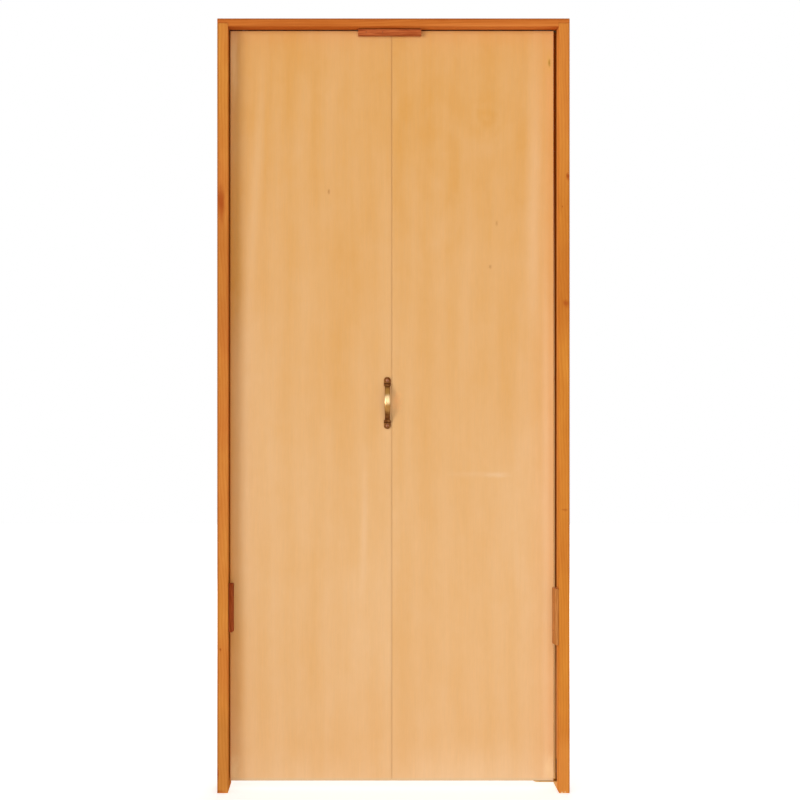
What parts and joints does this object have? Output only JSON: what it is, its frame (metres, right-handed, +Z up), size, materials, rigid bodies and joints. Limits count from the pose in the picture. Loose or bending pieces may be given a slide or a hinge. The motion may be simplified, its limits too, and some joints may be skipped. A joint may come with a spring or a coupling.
{
  "type": "bifold door",
  "caption": "Bifold closet door: a pair of flush panels hinged together, hung on pivots and a guided head track in a stained wooden frame, with a bow pull by the seam.",
  "frame": {"origin": "on the floor, midway between the jambs and at mid-depth of the frame", "axes": "+Z up, +X to the right seen from the room, -Y towards the room"},
  "size_m": [0.933, 0.116, 2.051],
  "materials": {
    "frame_wood": "stained softwood, satin varnish",
    "door_veneer": "birch veneer, satin clear coat",
    "core_wood": "raw softwood strips",
    "block_wood": "red-brown stained hardwood",
    "antique_brass": "antique patina, worn bright on the bow",
    "zinc_steel": "zinc plated",
    "track_aluminium": "extruded, matt anodised",
    "wheel_nylon": "moulded nylon"
  },
  "bodies": {
    "frame": {"left_jamb": "frame_wood", "right_jamb": "frame_wood", "head": "frame_wood", "head_track": "track_aluminium", "track_screw_left": "zinc_steel", "track_screw_right": "zinc_steel", "top_pivot_socket": "zinc_steel", "socket_screw": "zinc_steel", "floor_bracket": "zinc_steel", "bracket_screw_lower": "zinc_steel", "bracket_screw_upper": "zinc_steel", "left_stop_block": "block_wood", "right_stop_block": "block_wood"},
    "pivot_panel": {"pivot_front_skin": "door_veneer", "pivot_back_skin": "door_veneer", "pivot_hinge_stile": "door_veneer", "pivot_outer_stile": "door_veneer", "pivot_top_rail": "door_veneer", "pivot_bottom_rail": "door_veneer", "pivot_core": "core_wood", "top_pivot_sleeve": "zinc_steel", "top_pivot_spring": "zinc_steel", "bottom_pivot_pin": "zinc_steel", "bottom_hinge_pivot_leaf": "antique_brass", "middle_hinge_pivot_leaf": "antique_brass", "top_hinge_pivot_leaf": "antique_brass", "bottom_hinge_pivot_screw_lower": "zinc_steel", "bottom_hinge_pivot_screw_upper": "zinc_steel", "middle_hinge_pivot_screw_lower": "zinc_steel", "middle_hinge_pivot_screw_upper": "zinc_steel", "top_hinge_pivot_screw_lower": "zinc_steel", "top_hinge_pivot_screw_upper": "zinc_steel", "bottom_hinge_pin": "antique_brass", "middle_hinge_pin": "antique_brass", "top_hinge_pin": "antique_brass"},
    "top_pivot_pin": {"top_pivot_pin": "zinc_steel"},
    "lead_panel": {"lead_front_skin": "door_veneer", "lead_back_skin": "door_veneer", "lead_hinge_stile": "door_veneer", "lead_outer_stile": "door_veneer", "lead_top_rail": "door_veneer", "lead_bottom_rail": "door_veneer", "lead_core": "core_wood", "guide_sleeve": "zinc_steel", "guide_spring": "zinc_steel", "top_block": "block_wood", "handle": "antique_brass", "handle_screw_top": "antique_brass", "handle_screw_bottom": "antique_brass", "bottom_hinge_lead_leaf": "antique_brass", "middle_hinge_lead_leaf": "antique_brass", "top_hinge_lead_leaf": "antique_brass", "bottom_hinge_lead_screw_lower": "zinc_steel", "bottom_hinge_lead_screw_upper": "zinc_steel", "middle_hinge_lead_screw_lower": "zinc_steel", "middle_hinge_lead_screw_upper": "zinc_steel", "top_hinge_lead_screw_lower": "zinc_steel", "top_hinge_lead_screw_upper": "zinc_steel"},
    "guide_pin": {"guide_pin": "zinc_steel"},
    "guide_wheel": {"guide_wheel": "wheel_nylon"}
  },
  "joints": [
    {"name": "pivot_swing", "type": "hinge", "parent": "frame", "child": "pivot_panel", "pos_m": [0.3905, 0, 0.022], "axis": [0, 0, 1], "range_deg": [0, 86]},
    {"name": "fold_hinge", "type": "hinge", "parent": "pivot_panel", "child": "lead_panel", "pos_m": [-0.003, 0.0215, 1.0255], "axis": [0, 0, 1], "range_deg": [-172, 0]},
    {"name": "top_pivot_slide", "type": "slide", "parent": "pivot_panel", "child": "top_pivot_pin", "axis": [0, 0, 1], "range_m": [-0.01, 0], "stiffness_N_per_m": 600, "springref_m": 0.012, "deforming": ["top_pivot_spring"]},
    {"name": "guide_slide", "type": "slide", "parent": "lead_panel", "child": "guide_pin", "axis": [0, 0, 1], "range_m": [-0.01, 0], "stiffness_N_per_m": 600, "springref_m": 0.012, "deforming": ["guide_spring"]},
    {"name": "guide_wheel_spin", "type": "hinge", "parent": "guide_pin", "child": "guide_wheel", "pos_m": [-0.3965, 0, 2.035], "axis": [0, 0, 1], "continuous": true}
  ],
  "couplings": [
    {"joint": "fold_hinge", "follows": "pivot_swing", "ratio": -2}
  ]
}
